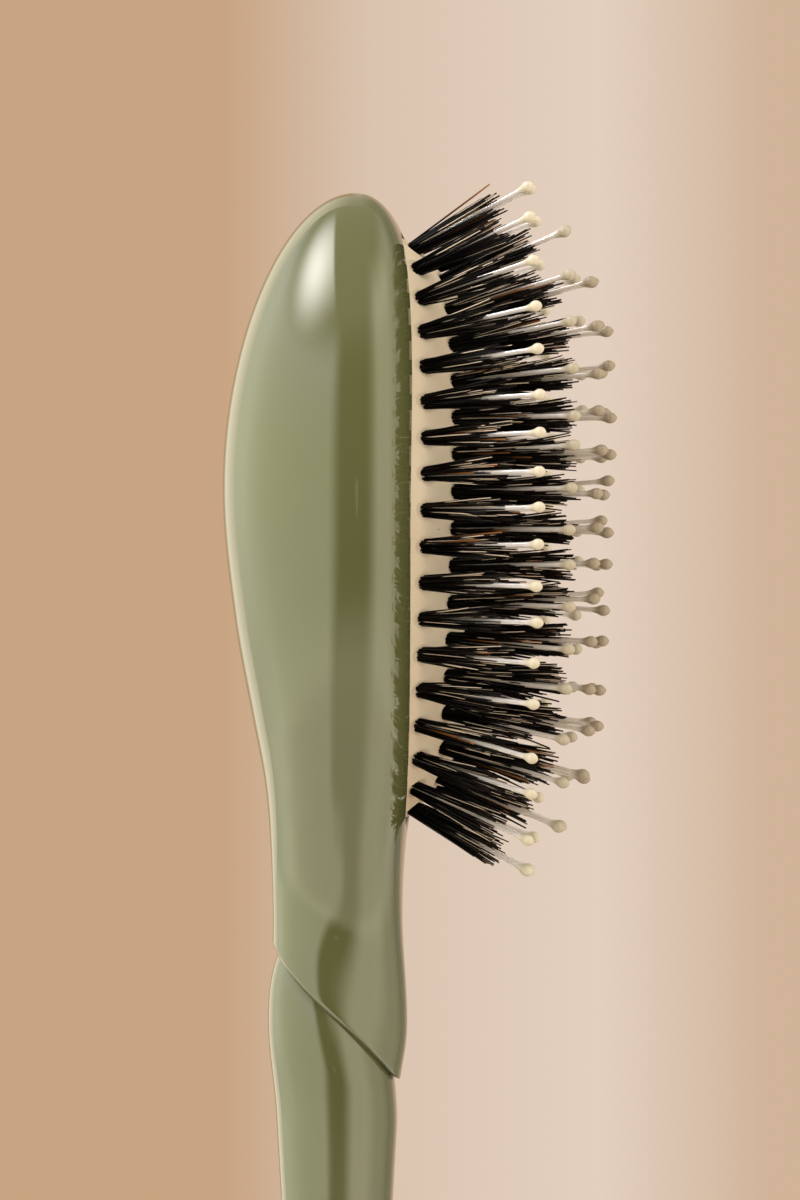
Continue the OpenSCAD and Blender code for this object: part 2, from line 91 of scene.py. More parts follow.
# Tufts and pins, in mm and degrees
TUFT_L, TUFT_W, END_LEAN, SIDE_LEAN, LEAN_POWER, SIDE_LEAN_POWER = 14, 2.2, 29, 30, 2.5, 1.7
RING_END, RING_SIDE, RING_STEP_L, RING_STEP_W, TUFT_STEP = 1.8, 3.5, 4.2, 5, 5.15
OVAL_RINGS, ROW_TUFTS, LINE_POINTS = 3, 11, 180
PIN_L, PIN_DIA, BALL_DIA, BALL_END, BALL_NECK = 19.6, 0.75, 1.7, 1, 1.6
# Error of the lean, what each ring inwards adds to it, and the height beyond which there is none
LEAN_ERROR, RING_ERROR, STEADY_FROM = 0.8, 0.35, 36
# Strands: how many, how thick, how deep in the rubber, and how their places and lengths vary
STRANDS, STRAND_R, ROOT_DEPTH, GOLDEN_ANGLE, ANGLE_ERROR = 40, 0.145, 0.45, 2.39996, 0.3
ROOT_SHARES, LENGTH_SHARES, ROUND_TRIM, OUTER_TRIM, LEANING_FROM = (0.3, 0.9), (0.76, 1.07), 0.05, 0.4, 7
# Spread of the inner and outer strands of a tuft, and how their spread, turn and bend vary
SPREADS, SPREAD_SHARES, TURN_ERROR, BEND_ERROR = (0.01, 0.085), (0.6, 1.25), 0.016, 0.15
STRAY_CHANCE, STRAY_GAIN, AMBER_CHANCE = 0.06, 1.5, 0.03
# Chances, added up, of the runs of a strand's rings that get a painted highlight, a pale streak along one
# edge
PAINTED_HIGHLIGHT_RUNS = [(0.14, (1, 2, 3)), (0.3, (2, 3, 4)), (0.42, (3, 4))]
PIN_SIDES, PIN_ROOT, BALL_SHARE, BALL_BLUNT, BALL_FROM = 18, 0.6, 0.96, 1.35, math.radians(-34)
NECK_STEPS, BALL_STEPS, NECK_POWER = 6, 10, 3.4


def clamp(v):
    return min(max(v, 0.0), 1.0)


def ease(v):
    c = clamp(v)
    return c * c * (3 - 2 * c)


def mix(a, b, share):
    return a + (b - a) * share


def root(v, power):
    return 0.0 if v <= 0 else v ** (1 / power)


def signed_root(v, power):
    return math.copysign(root(abs(v), power), v)


# Body shape

KNOTS = [
    [-TAIL_D, TAIL_T / 2, TAIL_T / 2, TAIL_W / 2],
    [WAIST_H, WAIST_T / 2, WAIST_T / 2, WAIST_W / 2],
    [GRIP_H, GRIP_T / 2, GRIP_T / 2, GRIP_W / 2],
    [SWELL_H, SWELL_T / 2, SWELL_T / 2, SWELL_W / 2],
    [NECK_H, NECK_T / 2, NECK_T / 2, NECK_W / 2],
    *[
        [mix(NECK_H, HEAD_H, s[0]), mix(NECK_T / 2, HEAD_BACK, s[1]),
         mix(NECK_T / 2, HEAD_FRONT, s[2]), mix(NECK_W / 2, HEAD_W / 2, s[3])]
        for s in SHOULDER
    ],
    [HEAD_H, HEAD_BACK, HEAD_FRONT, HEAD_W / 2],
    [NOSE_H, HEAD_BACK, HEAD_FRONT, HEAD_W / 2],
]


def slope(i, n):
    a, b = max(i - 1, 0), min(i + 1, len(KNOTS) - 1)
    return (KNOTS[b][n] - KNOTS[a][n]) / (KNOTS[b][0] - KNOTS[a][0])


def along(z, n):
    """Cubic curve through column n of the knots, at height z."""
    i = 0
    while i < len(KNOTS) - 2 and z >= KNOTS[i + 1][0]:
        i += 1
    h = KNOTS[i + 1][0] - KNOTS[i][0]
    s = clamp((z - KNOTS[i][0]) / h)
    low = (1 + 2 * s) * (1 - s) ** 2 * KNOTS[i][n] + s * (1 - s) ** 2 * h * slope(i, n)
    return low + s * s * (3 - 2 * s) * KNOTS[i + 1][n] - s * s * (1 - s) * h * slope(i + 1, n)


def crease_offset(x):
    """How far the slanted, slightly bent crease lies above its middle height, at depth x."""
    s = x / (SWELL_T / 2)
    return -CREASE_RISE / 2 * (s * (1 - CREASE_BEND) + s ** 3 * CREASE_BEND)


def tilt(z):
    """Share of the crease's slant that the slice at height z has."""
    if z > CREASE_H:
        return 1 - ease((z - CREASE_H) / (HEAD_H - CREASE_H) / TILT_SHARE)
    return 1 - ease((CREASE_H - z) / (CREASE_H - WAIST_H))


def valley(z):
    """Depth of the crease at height z: it is steep above its line and shallow below."""
    s = (z - CREASE_H) / CREASE_ABOVE if z > CREASE_H else (CREASE_H - z) / CREASE_BELOW
    return CREASE_D * (1 - clamp(s)) ** 2


def section(z):
    """Middle line, reach in front and behind, half width and the two powers of the slice at z."""
    nose = clamp((z - HEAD_H) / (NOSE_H - HEAD_H))
    butt = math.sqrt(1 - clamp((-TAIL_D - z) / (BUTT_D - TAIL_D)) ** 2)
    head = ease((z - NECK_H) / (HEAD_H - NECK_H))
    flat = ease((z - NECK_H) / (HEAD_H - NECK_H) / FLAT_SHARE)
    t, mid, dip = tilt(z), HEAD_MID * head, valley(z)
    back = (along(z + t * crease_offset(-SWELL_T / 2), 1) + mid) * FIT
    back *= root(1 - nose ** NOSE_BACK_POWER, NOSE_BACK_POWER)
    front = along(z + t * crease_offset(SWELL_T / 2), 2) - mid
    front *= root(1 - nose ** NOSE_FRONT_POWER, NOSE_FRONT_END)
    width = along(z, 3) * root(1 - nose ** NOSE_SIDE_POWER, NOSE_SIDE_END) * FIT
    powers = mix(HANDLE_POWER, RIM_POWER, flat), mix(HANDLE_POWER, BACK_POWER, head)
    return mid, front * butt - dip, back * butt - dip, width * butt - dip, powers


def body_slice(z, sides):
    mid, front, back, width, powers = section(z)
    t = tilt(z)
    points = []
    for i in range(sides):
        a = 2 * math.pi * i / sides
        c, s = math.cos(a), math.sin(a)
        reach, power = (front, powers[0]) if c > 0 else (back, powers[1])
        x = mid + reach * signed_root(c, power / 2)
        points.append((x, width * signed_root(s, power / 2), z + t * crease_offset(x)))
    return points


def rim_x(y, z):
    """Depth of the head's front face at side y and height z."""
    mid, front, _, width, powers = section(z)
    return mid + front * root(1 - (abs(y) / width) ** powers[0], powers[0])


# Mesh helpers

def make_mesh(name, points, faces, smooth=True):
    """A piece from points in mm."""
    mesh = bpy.data.meshes.new(name)
    mesh.from_pydata([(x * MM, y * MM, z * MM) for x, y, z in points], [], faces)
    mesh.validate()
    mesh.polygons.foreach_set("use_smooth", [smooth] * len(mesh.polygons))
    piece = bpy.data.objects.new(name, mesh)
    bpy.context.collection.objects.link(piece)
    return piece


def add_layer(piece, name, values):
    """Stores one number for each point of a piece, for its material to read."""
    layer = piece.data.attributes.new(name, "FLOAT", "POINT")
    layer.data.foreach_set("value", values)


def loft(rings, closed_ends=True):
    """Points and faces of rings of equal length, joined in order and capped with a fan."""
    n = len(rings[0])
    points = [p for ring in rings for p in ring]
    faces = []
    for k in range(len(rings) - 1):
        for i in range(n):
            j = (i + 1) % n
            faces.append((k * n + i, k * n + j, (k + 1) * n + j, (k + 1) * n + i))
    if closed_ends:
        for ring, flip in ((0, True), (len(rings) - 1, False)):
            points.append(tuple(np.mean(rings[ring], axis=0)))
            c = len(points) - 1
            for i in range(n):
                a, b = ring * n + i, ring * n + (i + 1) % n
                faces.append((c, b, a) if flip else (c, a, b))
    return points, faces


def steps(a, b, n, power=1.0):
    return [mix(a, b, (i / n) ** power) for i in range(n)]


def apply_modifiers(piece):
    graph = bpy.context.evaluated_depsgraph_get()
    mesh = bpy.data.meshes.new_from_object(piece.evaluated_get(graph))
    piece.modifiers.clear()
    piece.data = mesh


def cut(piece, cutter):
    """Takes the cutter out of the piece and deletes the cutter."""
    change = piece.modifiers.new("cut", "BOOLEAN")
    change.operation, change.solver, change.object = "DIFFERENCE", "EXACT", cutter
    apply_modifiers(piece)
    bpy.data.objects.remove(cutter)


def sharpen(piece, degrees):
    """Smooth shading that stays crisp across edges steeper than an angle."""
    mesh = piece.data
    mesh.polygons.foreach_set("use_smooth", [True] * len(mesh.polygons))
    mesh.set_sharp_from_angle(angle=math.radians(degrees))


def oval_point(a, half_l, half_w):
    """Side and height of the point at angle a of an oval round the cushion's centre."""
    return (
        half_w * signed_root(math.sin(a), OVAL_POWER / 2),
        half_l * signed_root(math.cos(a), OVAL_POWER / 2),
    )


# Handle and head

def body_heights():
    """Heights of the body's slices, closest together at the crease and at the two round ends."""
    butt, handle, below, above, head, nose = 24, 60, 20, 14, 96, 70
    crease_power = 1.5
    crease_low, crease_high = CREASE_H - CREASE_BELOW, CREASE_H + CREASE_ABOVE
    heights = [mix(-TAIL_D, -BUTT_D, math.sin(math.pi / 2 * i / butt)) for i in range(butt - 1, 0, -1)]
    heights += steps(-TAIL_D, crease_low, handle)
    heights += [mix(CREASE_H, crease_low, (i / below) ** crease_power) for i in range(below, 0, -1)]
    heights += steps(CREASE_H, crease_high, above, crease_power)
    heights += steps(crease_high, HEAD_H, head)
    heights += [mix(HEAD_H, NOSE_H, math.sin(math.pi / 2 * i / nose)) for i in range(nose)]
    return heights


def opening_profile():
    """Profile of the chamber and the bead's groove, as how far out and what depth, and of the rounded
    lip, with its depth measured from the rim."""
    floor_x = SEAT_X - BEAD_T - CHAMBER_D
    groove_low, groove_high = SEAT_X - BEAD_T - SEAT_GAP, SEAT_X + SEAT_GAP
    low = [(SEAT_GAP - inwards, floor_x + up) for inwards, up in CHAMBER_CORNER]
    low += [
        (SEAT_GAP, groove_low), (SEAT_GAP + BEAD_OUT, groove_low),
        (SEAT_GAP + BEAD_OUT, groove_high), (SEAT_GAP, groove_high),
    ]
    high = []
    for k in range(LIP_STEPS + 1):
        a = LIP_ARC * k / LIP_STEPS
        high.append((SEAT_GAP + LIP_R * (1 - math.cos(a)), LIP_R * (math.sin(a) - 1)))
    high.append((high[-1][0] + CUT_FLARE, high[-1][1] + CUT_FLARE / math.tan(LIP_ARC)))
    high.append((high[-1][0], CUT_OVER))
    return low, high


def opening_cutter():
    """The chamber, the groove of the bead and the rounded lip, as one closed form."""
    low, high = opening_profile()
    rings = [[] for _ in range(len(low) + len(high))]
    for i in range(OPENING_SIDES):
        a = 2 * math.pi * i / OPENING_SIDES
        on_lip = oval_point(a, PAD_L / 2 + SEAT_GAP, PAD_W / 2 + SEAT_GAP)
        rim = rim_x(on_lip[0], PAD_H + on_lip[1])
        for k, (out, x) in enumerate(low + [(o, rim + x) for o, x in high]):
            p = oval_point(a, PAD_L / 2 + out, PAD_W / 2 + out)
            rings[k].append((x, -p[0], PAD_H + p[1]))
    return make_mesh("opening", *loft(rings))


def make_body():
    points, faces = loft([body_slice(z, BODY_SIDES) for z in body_heights()])
    # The fans at both ends meet at the very tips
    points[-2], points[-1] = (0, 0, -BUTT_D), (HEAD_MID, 0, NOSE_H)
    body = make_mesh("handle_and_head", points, faces)
    cut(body, opening_cutter())
    sharpen(body, BODY_EDGE_ANGLE)
    return body


# Cushion and the places on it

def bowed(x, z):
    """Depth x of the dome, lowered towards both ends and tilted, at height z from its middle."""
    s = z / (PAD_L / 2)
    gain = DOME_TILT * s * (1 - s * s) - DOME_BOW * s * s
    return x if x <= SEAT_X else SEAT_X + (x - SEAT_X) * (1 + gain)


def dome_share(t):
    """Share of the dome's height at a share t of the way in from its edge."""
    return (1 - (1 - clamp(t)) ** DOME_ROUND) ** DOME_RISE


def dome_x(inset, z):
    return bowed(SEAT_X + CROWN_H * dome_share(inset / (PAD_W / 2)), z)


def level_inset(y, z):
    """Inset of the oval that goes through a place on the cushion, found by halving."""
    low, high = 0.0, PAD_W / 2
    halvings = 24
    for _ in range(halvings):
        s = (low + high) / 2
        n = (abs(y) / (PAD_W / 2 - s)) ** OVAL_POWER + (abs(z) / (PAD_L / 2 - s)) ** OVAL_POWER
        low, high = (low, s) if n > 1 else (s, high)
    return low


def foot(p):
    """Point on the rubber at a side and height from the cushion's centre."""
    return Vector((dome_x(level_inset(*p), p[1]), p[0], PAD_H + p[1]))


def lean(p):
    """Direction in which the tuft and pin at a place stand."""
    aside = clamp(abs(p[0]) / (PAD_W / 2 - RING_SIDE))
    side = math.copysign(math.tan(math.radians(SIDE_LEAN)) * (1 - (1 - aside) ** SIDE_LEAN_POWER), p[0])
    end = math.tan(math.radians(END_LEAN)) * (abs(p[1]) / (PAD_L / 2 - RING_END)) ** LEAN_POWER
    return Vector((1, side, math.copysign(end, p[1]))).normalized()


def astray(p, k):
    """The lean of a tuft or pin of ring k with a small error, but none near the cushion's ends."""
    if abs(p[1]) > STEADY_FROM:
        return lean(p)
    error = math.radians(LEAN_ERROR + RING_ERROR * k)
    return (lean(p) + Vector((0, random.gauss(0, error), random.gauss(0, error)))).normalized()


def ring_line(k):
    """Points of ring k's centre line in side and height, with the run along it at each point."""
    if k > OVAL_RINGS:
        half = ROW_TUFTS * TUFT_STEP / 2
        return [(0.0, -half), (0.0, half)], [0.0, 2 * half]
    half_l = PAD_L / 2 - RING_END - RING_STEP_L * (k - 1)
    half_w = PAD_W / 2 - RING_SIDE - RING_STEP_W * (k - 1)
    points = [oval_point(2 * math.pi * i / LINE_POINTS, half_l, half_w) for i in range(LINE_POINTS + 1)]
    runs = [0.0]
    for a, b in zip(points, points[1:]):
        runs.append(runs[-1] + math.dist(a, b))
    return points, runs


def tufts_of(k):
    """Side and height of each tuft of ring k, measured from the cushion's centre."""
    points, runs = ring_line(k)
    length = runs[-1]
    n = ROW_TUFTS if k > OVAL_RINGS else 2 * round(length / TUFT_STEP / 2)
    places = []
    for j in range(n):
        s = (j + 0.5) * length / n
        places.append(tuple(float(np.interp(s, runs, [p[c] for p in points])) for c in (0, 1)))
    return places


def tuft_finder(rings):
    """Finds the tuft that is nearest to a place on the cushion."""
    places = [p for k in rings for p in rings[k]]
    finder = kdtree.KDTree(len(places))
    for i, place in enumerate(places):
        finder.insert((*place, 0), i)
    finder.balance()
    return finder


RINGS = {k: tufts_of(k) for k in range(1, OVAL_RINGS + 2)}
NEAR_TUFT = tuft_finder(RINGS)


def dimple(y, z):
    """Height of the small raised ring and dip that the rubber has round the nearest tuft, in mm."""
    _, _, r = NEAR_TUFT.find((y, z, 0))
    raised = RAISED * math.exp(-(((r - RAISED_AT) / RAISED_W) ** 2))
    dip = -DIP * (1 - ease((r - DIP_FROM) / DIP_OVER))
    return raised + dip


def pad_ring(inset, depth, under=0):
    """Points round the cushion at an inset from its edge, with the depth that a function gives."""
    points = []
    for i in range(PAD_SIDES):
        p = oval_point(2 * math.pi * i / PAD_SIDES, PAD_L / 2 - inset - under, PAD_W / 2 - inset - under)
        points.append((depth(p), -p[0], PAD_H + p[1]))
    return points


def turn_inset(reach, k):
    """Inset of turn k of the dome, whose turns lie closer together towards the edge."""
    return reach * (1 - math.cos(math.pi / 2 * PAD_COVER * k / PAD_TURNS))


def outer_ring(k):
    inset = turn_inset(PAD_W / 2, k)
    rise = clamp(inset / DIMPLES_FROM)
    return pad_ring(inset, lambda p: dome_x(inset, p[1]) + dimple(*p) * rise)


def inner_ring(k):
    reach = PAD_W / 2 - RUBBER_T
    inset = turn_inset(reach, k)
    high = SEAT_X + (CROWN_H - RUBBER_T) * dome_share(inset / reach)
    return pad_ring(inset, lambda p: bowed(high, p[1]), under=RUBBER_T)


def bead_rings():
    """The bead round the cushion's edge, from inside to outside."""
    low, high, out = SEAT_X - BEAD_T, SEAT_X, BEAD_CORNER - BEAD_OUT
    edge = [
        (RUBBER_T, low), (out, low), (-BEAD_OUT, low + BEAD_CORNER), (-BEAD_OUT, high - BEAD_CORNER),
        (out, high), (0, high),
    ]
    return [pad_ring(inset, lambda p, x=x: x) for inset, x in edge]


def cap_faces(n, last):
    """Strips across the first ring and across the ring that starts at point last."""
    faces = []
    for i in range(n // 2):
        a, b, c, d = i, i + 1, n - i - 1, (n - i) % n
        for at, quad in ((0, (a, b, c, d)), (last, (d, c, b, a))):
            faces.append(tuple(dict.fromkeys(at + v for v in quad)))
    return faces


def vent_cutter():
    angles = [2 * math.pi * i / VENT_SIDES for i in range(VENT_SIDES)]
    rings = [
        [(x, VENT_Y + VENT_DIA / 2 * math.cos(a), PAD_H + VENT_DIA / 2 * math.sin(a)) for a in angles]
        for x in (SEAT_X, SEAT_X + CROWN_H + VENT_OVER)
    ]
    return make_mesh("vent", *loft(rings))


def make_cushion():
    inner_every = 4
    outer = [outer_ring(k) for k in range(1, PAD_TURNS + 1)]
    inner = [inner_ring(k) for k in range(0, PAD_TURNS + 1, inner_every)]
    rings = inner[::-1] + bead_rings() + outer
    points, faces = loft(rings, closed_ends=False)
    faces += cap_faces(PAD_SIDES, (len(rings) - 1) * PAD_SIDES)
    cushion = make_mesh("rubber_cushion", points, faces)
    cut(cushion, vent_cutter())
    sharpen(cushion, PAD_EDGE_ANGLE)
    return cushion


# Tufts and pins

def across(d):
    """Two unit vectors square to a direction."""
    u = d.cross(Vector((0, 0, 1))).normalized()
    return u, d.cross(u)


def add_bristle(points, faces, looks, base, direction, length, bend, look):
    """Adds one boar bristle: a four-sided strand with a blunt, uneven tip. Its look holds how amber
    it is and which of its rings carry a painted highlight, a pale streak on one edge."""
    u, v = across(direction)
    first = len(points)
    low, high = random.uniform(0.4, 0.62), random.uniform(0.72, 0.88)
    turn = random.uniform(0, math.pi / 2)
    rings = ((0, 1), (0.25, 1), (low, 1), (high, 0.95), (1, 0.72))
    for row, (share, thick) in enumerate(rings):
        centre = base + direction * (length * share) + bend * share ** 2
        for corner in range(4):
            a = turn + math.pi / 2 * corner
            p = centre + (u * math.cos(a) + v * math.sin(a)) * STRAND_R * thick
            points.append(tuple(p))
            # Painted highlight: a pale streak is marked on corner 0 of the strand's listed rings
            looks.append((look[0], share, 1.0 if corner == 0 and row in look[1] else 0.0))
    last = len(rings) - 1
    for ring in range(last):
        for corner in range(4):
            a, b = first + ring * 4 + corner, first + ring * 4 + (corner + 1) % 4
            faces.append((a, b, b + 4, a + 4))
    faces.append(tuple(first + c for c in (3, 2, 1, 0)))
    faces.append(tuple(first + last * 4 + c for c in range(4)))


def strand_tone_and_painted_highlight(upper):
    """How amber a strand is, and the rings of one edge of it that get a painted highlight, a pale
    streak: more often on the upper side of the tuft, where the light falls."""
    chance = random.random() * (1 if upper else 3)
    pale = next((rings for most, rings in PAINTED_HIGHLIGHT_RUNS if chance < most), ())
    amber = random.uniform(0.5, 1) if random.random() < AMBER_CHANCE else 0.0
    return amber, pale


def strand(i, place, base, d):
    """Start, direction, length, bend and look of strand i of a tuft: the outer ones spread more."""
    u, v = across(d)
    r = math.sqrt((i + 0.9) / STRANDS)
    a = i * GOLDEN_ANGLE + random.uniform(-ANGLE_ERROR, ANGLE_ERROR)
    way = u * math.cos(a) + v * math.sin(a)
    start = base + way * (TUFT_W / 2 * mix(*ROOT_SHARES, r)) - d * ROOT_DEPTH
    stray = STRAY_GAIN if random.random() < STRAY_CHANCE else 1.0
    spread = mix(*SPREADS, r) * random.uniform(*SPREAD_SHARES) * stray
    turn = u * random.gauss(0, TURN_ERROR) + v * random.gauss(0, TURN_ERROR)
    direction = (d + way * spread + turn).normalized()
    # The outer side of a leaning tuft is cut shorter, so that its pin shows
    leans = abs(place[0]) > LEANING_FROM
    outer = max(0.0, way.y * math.copysign(1, place[0])) if leans else 0.0
    cut_to = TUFT_L * random.uniform(*LENGTH_SHARES)
    cut_to = cut_to * (1 - ROUND_TRIM * r) * (1 - OUTER_TRIM * r * outer)
    bend = (u * random.gauss(0, BEND_ERROR) + v * random.gauss(0, BEND_ERROR)) * stray
    return start, direction, ROOT_DEPTH + cut_to, bend, strand_tone_and_painted_highlight(way.z > 0.2)


def make_tufts(k):
    points, faces, looks = [], [], []
    for place in RINGS[k]:
        base, d = foot(place), astray(place, k)
        for i in range(STRANDS):
            add_bristle(points, faces, looks, *strand(i, place, base, d))
    tufts = make_mesh(f"boar_tufts_{k}", points, faces, smooth=False)
    # The pale layer marks the painted highlights on the strands
    for n, name in enumerate(("tone", "height", "pale")):
        add_layer(tufts, name, [look[n] for look in looks])
    return tufts


def pin_profile():
    """Radius and height of the pin's outline, from its root to the top of its ball, which comes to
    a blunt point."""
    ball, shaft = BALL_DIA / 2 * BALL_SHARE, PIN_DIA / 2
    neck_low, widest = PIN_L - 2 * BALL_END - BALL_NECK, PIN_L - BALL_END
    neck = shaft * 0.94
    outline = [(shaft * 1.1, -PIN_ROOT), (shaft * 1.06, 1), (shaft, 4), (neck, neck_low)]
    join = (ball * math.cos(BALL_FROM), widest + BALL_END * math.sin(BALL_FROM))
    for i in range(1, NECK_STEPS + 1):
        s = i / NECK_STEPS
        outline.append((mix(neck, join[0], s ** NECK_POWER), mix(neck_low, join[1], s)))
    for i in range(1, BALL_STEPS):
        a = mix(BALL_FROM, math.pi / 2, i / BALL_STEPS)
        blunt = 1 if a < 0 else BALL_BLUNT
        outline.append((ball * math.cos(a) ** blunt, widest + BALL_END * math.sin(a)))
    return outline


def add_pin(points, faces, heights, outline, base, d):
    """Adds one pin: its outline turned round a direction, closed at its root and its tip."""
    u, v = across(d)
    first = len(points)
    for r, h in outline:
        for i in range(PIN_SIDES):
            a = 2 * math.pi * i / PIN_SIDES
            points.append(tuple(base + d * h + (u * math.cos(a) + v * math.sin(a)) * r))
            heights.append(h / PIN_L)
    points.append(tuple(base + d * PIN_L))
    heights.append(1.0)
    top, rows = len(points) - 1, len(outline)
    for row in range(rows - 1):
        for i in range(PIN_SIDES):
            a, b = first + row * PIN_SIDES + i, first + row * PIN_SIDES + (i + 1) % PIN_SIDES
            faces.append((b, a, a + PIN_SIDES, b + PIN_SIDES))
    last = first + (rows - 1) * PIN_SIDES
    for i in range(PIN_SIDES):
        faces.append((last + (i + 1) % PIN_SIDES, last + i, top))
    faces.append(tuple(first + i for i in range(PIN_SIDES)))


def make_pins(k):
    outline = pin_profile()
    points, faces, heights = [], [], []
    for place in RINGS[k]:
        add_pin(points, faces, heights, outline, foot(place), astray(place, k))
    pins = make_mesh(f"nylon_pins_{k}", points, faces)
    add_layer(pins, "height", heights)
    # Painted shade: this value makes the pins of the inner rings darker
    add_layer(pins, "inner", [(k - 1) / OVAL_RINGS] * len(heights))
    return pins


# Node helpers: add is the function that adder gives for a node tree

def adder(tree):
    """A helper that adds a node to a tree, with values or links for its inputs."""
    def add(kind, inputs=(), **settings):
        node = tree.nodes.new(kind)
        for key, value in settings.items():
            setattr(node, key, value)
        for key, value in dict(inputs).items():
            if isinstance(value, bpy.types.NodeSocket):
                tree.links.new(value, node.inputs[key])
            else:
                node.inputs[key].default_value = value
        return node

    return add


def new_material(name):
    """A material, its node tree, its Principled shader and the tree's helper."""
    material = bpy.data.materials.new(name)
    material.use_nodes = True
    tree = material.node_tree
    return material, tree, tree.nodes["Principled BSDF"], adder(tree)


def combine(add, a, b, operation="ADD"):
    """Two values put together by a maths node."""
    return add("ShaderNodeMath", {0: a, 1: b}, operation=operation).outputs[0]


def product(add, *factors):
    """All the factors multiplied."""
    total = factors[0]
    for factor in factors[1:]:
        total = combine(add, total, factor, "MULTIPLY")
    return total


def remap(add, value, low, high, to_low=0.0, to_high=1.0):
    """Carries a range of values over to another in a straight line, and holds its ends."""
    return add("ShaderNodeMapRange", {"Value": value, 1: low, 2: high, 3: to_low, 4: to_high}).outputs[0]


def fade(add, value, start, end):
    """Rises smoothly from 0 to 1 while the value goes from start to end, either way."""
    node = add("ShaderNodeMapRange", {"Value": value, 1: start, 2: end}, interpolation_type="SMOOTHSTEP")
    return node.outputs[0]


def band(add, value, low, high, soft):
    """1 between low and high, with soft ends."""
    rise, fall = fade(add, value, low - soft, low + soft), fade(add, value, high + soft, high - soft)
    return product(add, rise, fall)


def object_place(add):
    return add("ShaderNodeTexCoord").outputs["Object"]


def noise(add, place, scale, detail, rough=0.5):
    inputs = {"Vector": place, "Scale": scale, "Detail": detail, "Roughness": rough}
    return add("ShaderNodeTexNoise", inputs).outputs["Fac"]


def specks(add, place, scale, size, patch_scale, patch_level):
    """1 on small round spots, which lie only where a broad noise is above a level."""
    spots = add("ShaderNodeTexVoronoi", {"Vector": place, "Scale": scale, "Randomness": 1})
    few = combine(add, noise(add, place, patch_scale, 1), patch_level, "GREATER_THAN")
    return product(add, few, combine(add, spots.outputs["Distance"], size, "LESS_THAN"))


def bump(add, height, strength, distance):
    return add("ShaderNodeBump", {"Height": height, "Strength": strength, "Distance": distance}).outputs[0]


def attribute(add, name):
    return add("ShaderNodeAttribute", attribute_name=name).outputs["Fac"]


def ramp(add, fac, stops):
    node = add("ShaderNodeValToRGB", {"Fac": fac})
    elements = node.color_ramp.elements
    while len(elements) < len(stops):
        elements.new(0.5)
    for element, (place, colour) in zip(elements, stops):
        element.position, element.color = place, (*colour, 1)
    return node.outputs["Color"]


def blend_colours(add, fac, a, b):
    """From colour a to colour b. Each is a link or three numbers."""
    node = add("ShaderNodeMix", {0: fac}, data_type="RGBA")
    for key, value in ((6, a), (7, b)):
        if isinstance(value, bpy.types.NodeSocket):
            node.id_data.links.new(value, node.inputs[key])
        else:
            node.inputs[key].default_value = (*value, 1)
    return node.outputs[2]


def linear(r, g, b):
    """Scene colour of an sRGB colour given from 0 to 255."""
    def one(v):
        v /= 255
        return v / 12.92 if v <= 0.04045 else ((v + 0.055) / 1.055) ** 2.4

    return one(r), one(g), one(b)


def wire_up(tree, shader, links, values):
    """Links sockets to a shader's inputs, and sets the inputs that are the same all over."""
    for name, socket in links.items():
        tree.links.new(socket, shader.inputs[name])
    for name, value in values.items():
        shader.inputs[name].default_value = value


# Materials

def acetate_material():
    """Polished sage plastic, with a little dust, faint long scratches and a slow wave."""
    material, tree, shader, add = new_material("acetate")
    place = object_place(add)
    sage, light_sage, dust = linear(86, 87, 54), linear(92, 93, 58), linear(226, 228, 205)
    body = ramp(add, noise(add, place, 26, 3), [(0.3, sage), (0.7, light_sage)])
    dusty = specks(add, place, scale=330, size=0.035, patch_scale=95, patch_level=0.67)
    slanted, stretched = (0.3, 0.5, 0.2), (900, 900, 14)
    turned = add("ShaderNodeMapping", {"Vector": place, "Rotation": slanted, "Scale": stretched})
    scratches = remap(add, noise(add, turned.outputs[0], 1, 2), 0.68, 0.76)
    smears = remap(add, noise(add, place, 60, 4), 0.35, 0.7, 0.02, 0.045)
    wire_up(tree, shader, {
        "Base Color": blend_colours(add, dusty, body, dust),
        "Roughness": combine(add, smears, product(add, scratches, 0.05)),
        "Normal": bump(add, noise(add, place, 75, 1), 0.05, 0.0006),
    }, {"IOR": 1.5, "Specular IOR Level": 1, "Specular Tint": (1, 1, 0.88, 1)})
    return material


def rubber_material():
    """Cream rubber: mottled, with a fine grain and a few specks of dirt."""
    material, tree, shader, add = new_material("rubber")
    place = object_place(add)
    cream, pale_cream, dirt = linear(231, 209, 182), linear(239, 220, 197), linear(120, 100, 84)
    body = ramp(add, noise(add, place, 90, 5, rough=0.6), [(0.3, cream), (0.7, pale_cream)])
    dirty = specks(add, place, scale=420, size=0.05, patch_scale=130, patch_level=0.66)
    wire_up(tree, shader, {
        "Base Color": blend_colours(add, dirty, body, dirt),
        "Normal": bump(add, noise(add, place, 1400, 2), 0.12, 0.0002),
    }, {
        "Roughness": 0.52, "Subsurface Weight": 0.12, "Subsurface Radius": (0.9, 0.6, 0.4),
        "Subsurface Scale": 0.0015,
    })
    return material


def boar_material():
    """Black bristles that brown towards their tips, a few of them amber, with painted highlights: pale
    streaks along one edge.
    """
    material, tree, shader, add = new_material("boar_bristle")
    tone, height, pale = (attribute(add, name) for name in ("tone", "height", "pale"))
    black = ramp(add, height, [(0.0, linear(7, 5, 5)), (0.7, linear(10, 7, 6)), (1.0, linear(24, 18, 15))])
    amber = ramp(add, height, [(0.3, linear(24, 14, 10)), (1.0, linear(176, 112, 62))])
    # Painted highlight: the marked edges of strands turn pale in the base colour
    dark, painted_highlight = blend_colours(add, tone, black, amber), fade(add, pale, 0.35, 0.7)
    wire_up(tree, shader, {
        "Base Color": blend_colours(add, painted_highlight, dark, linear(222, 200, 180)),
    }, {"Roughness": 0.32, "Specular IOR Level": 0.06})
    return material


